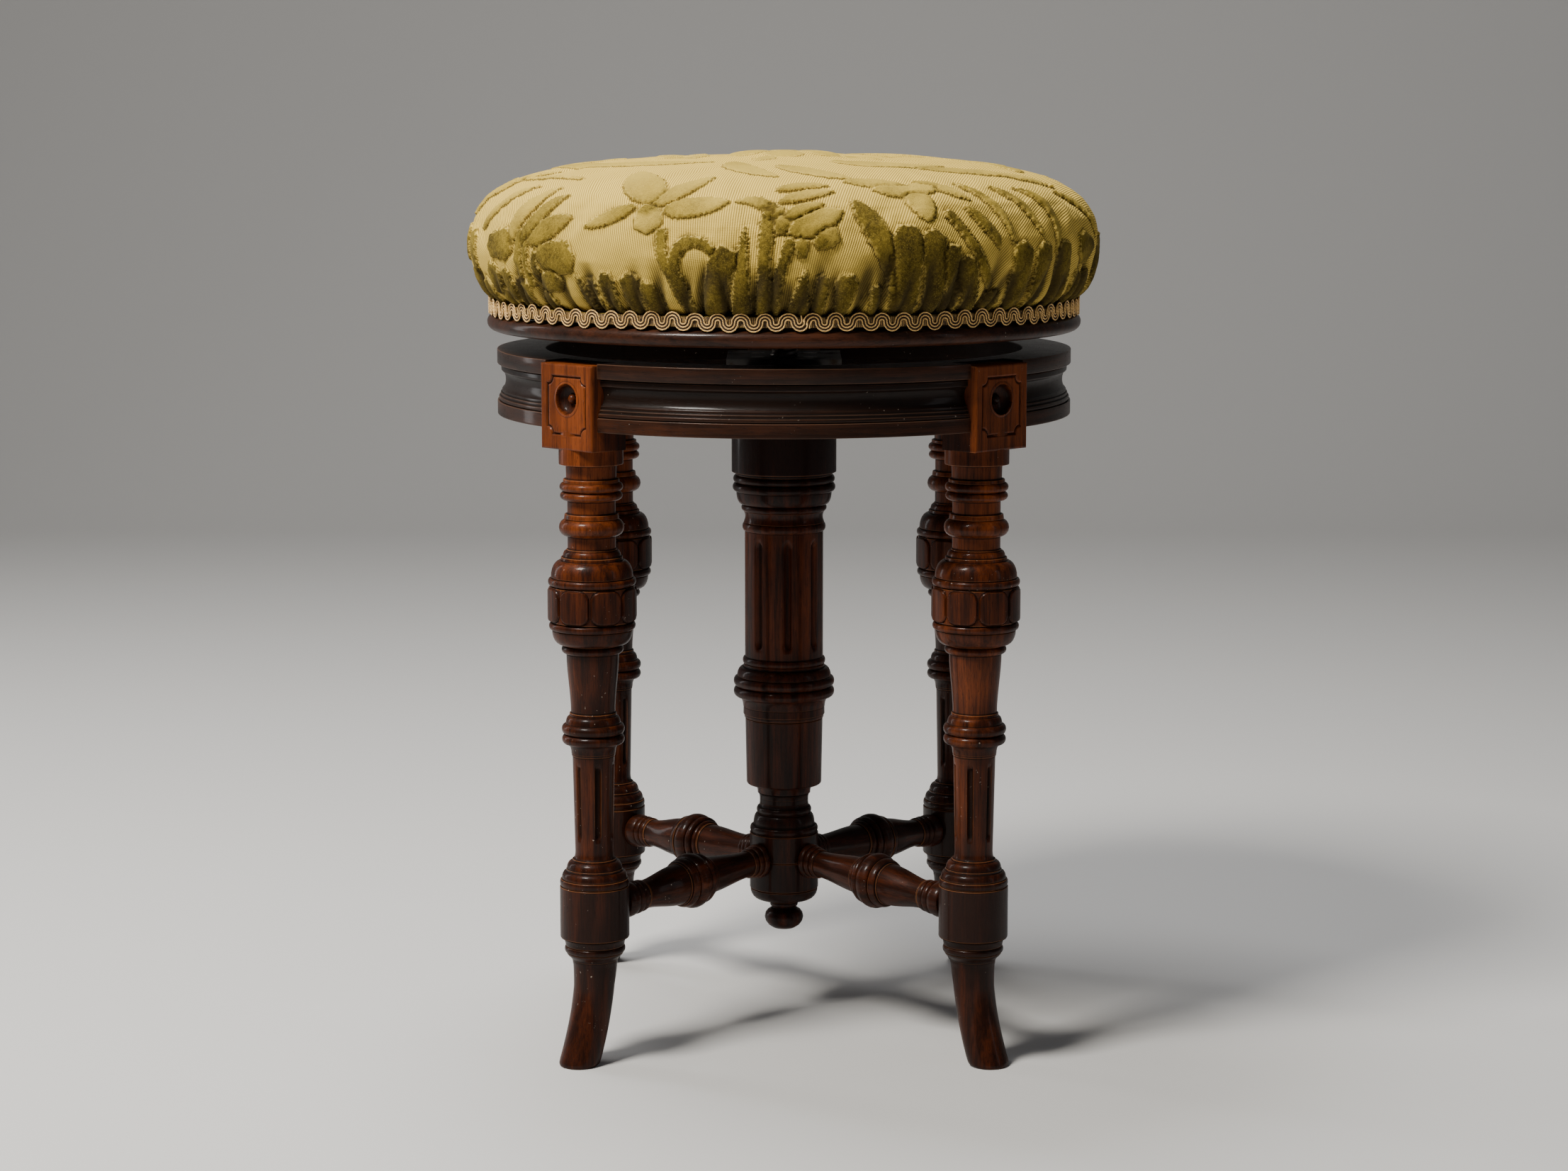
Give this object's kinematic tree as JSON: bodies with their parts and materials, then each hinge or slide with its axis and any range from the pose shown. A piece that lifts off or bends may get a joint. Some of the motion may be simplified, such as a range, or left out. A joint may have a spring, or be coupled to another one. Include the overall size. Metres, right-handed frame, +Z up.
{
  "type": "revolving piano stool",
  "caption": "Round padded stool with a velvet cushion that turns and climbs on an iron screw, over a moulded ring, turned carved legs, cross stretchers and a centre column.",
  "frame": {"origin": "on the floor, under the middle of the stool", "axes": "+Z up along the screw; -Y towards the picture's camera; the legs stand on the diagonals between X and Y"},
  "size_m": [0.365, 0.365, 0.509],
  "materials": {
    "dark_walnut": "dark stained walnut under old shellac, worn paler on the edges",
    "carved_walnut": "turned and carved walnut, red-brown shellac with dark recesses and bright worn arrises",
    "turned_walnut": "dark turned walnut, glossy shellac",
    "plain_wood": "unpolished sawn wood",
    "dark_iron": "dull dark iron",
    "spindle_steel": "threaded steel, browned and oily",
    "screw_steel": "plain steel wood screws",
    "hair_flock": "matted hair and flock",
    "cut_velvet": "cut velvet: ribbed cream-gold ground with raised olive-green scrolling flowers",
    "gimp_cord": "woven scroll gimp in cream and gold cords"
  },
  "bodies": {
    "frame": {"apron_1": "dark_walnut", "apron_2": "dark_walnut", "apron_3": "dark_walnut", "apron_4": "dark_walnut", "leg_1": "carved_walnut", "leg_2": "carved_walnut", "leg_3": "carved_walnut", "leg_4": "carved_walnut", "leg_screw_1_left": "screw_steel", "leg_screw_1_right": "screw_steel", "leg_screw_2_left": "screw_steel", "leg_screw_2_right": "screw_steel", "leg_screw_3_left": "screw_steel", "leg_screw_3_right": "screw_steel", "leg_screw_4_left": "screw_steel", "leg_screw_4_right": "screw_steel", "stretcher_1": "carved_walnut", "stretcher_2": "carved_walnut", "stretcher_3": "carved_walnut", "stretcher_4": "carved_walnut", "hub": "turned_walnut", "pendant_knob": "turned_walnut", "column": "turned_walnut", "bridge_bar_side": "plain_wood", "bridge_bar_front_back": "plain_wood", "nut": "dark_iron", "nut_screw_1": "screw_steel", "nut_screw_2": "screw_steel", "nut_screw_3": "screw_steel", "nut_screw_4": "screw_steel"},
    "stop_washer": {"stop_washer": "dark_iron"},
    "seat": {"spindle": "spindle_steel", "stop_pin": "screw_steel", "seat_flange": "dark_iron", "flange_screw_1": "screw_steel", "flange_screw_2": "screw_steel", "flange_screw_3": "screw_steel", "flange_screw_4": "screw_steel", "seat_board": "dark_walnut", "seat_stuffing": "hair_flock", "seat_cover": "cut_velvet", "gimp_braid": "gimp_cord"}
  },
  "joints": [
    {"name": "seat_rise", "type": "slide", "parent": "frame", "child": "stop_washer", "axis": [0, 0, 1], "range_m": [-0.0096, 0.0954]},
    {"name": "seat_spin", "type": "hinge", "parent": "stop_washer", "child": "seat", "pos_m": [0, 0, 0.3], "axis": [0, 0, 1], "range_deg": [-540, 5400]}
  ],
  "couplings": [
    {"joint": "seat_rise", "follows": "seat_spin", "m_per_rad": 0.0010106}
  ]
}
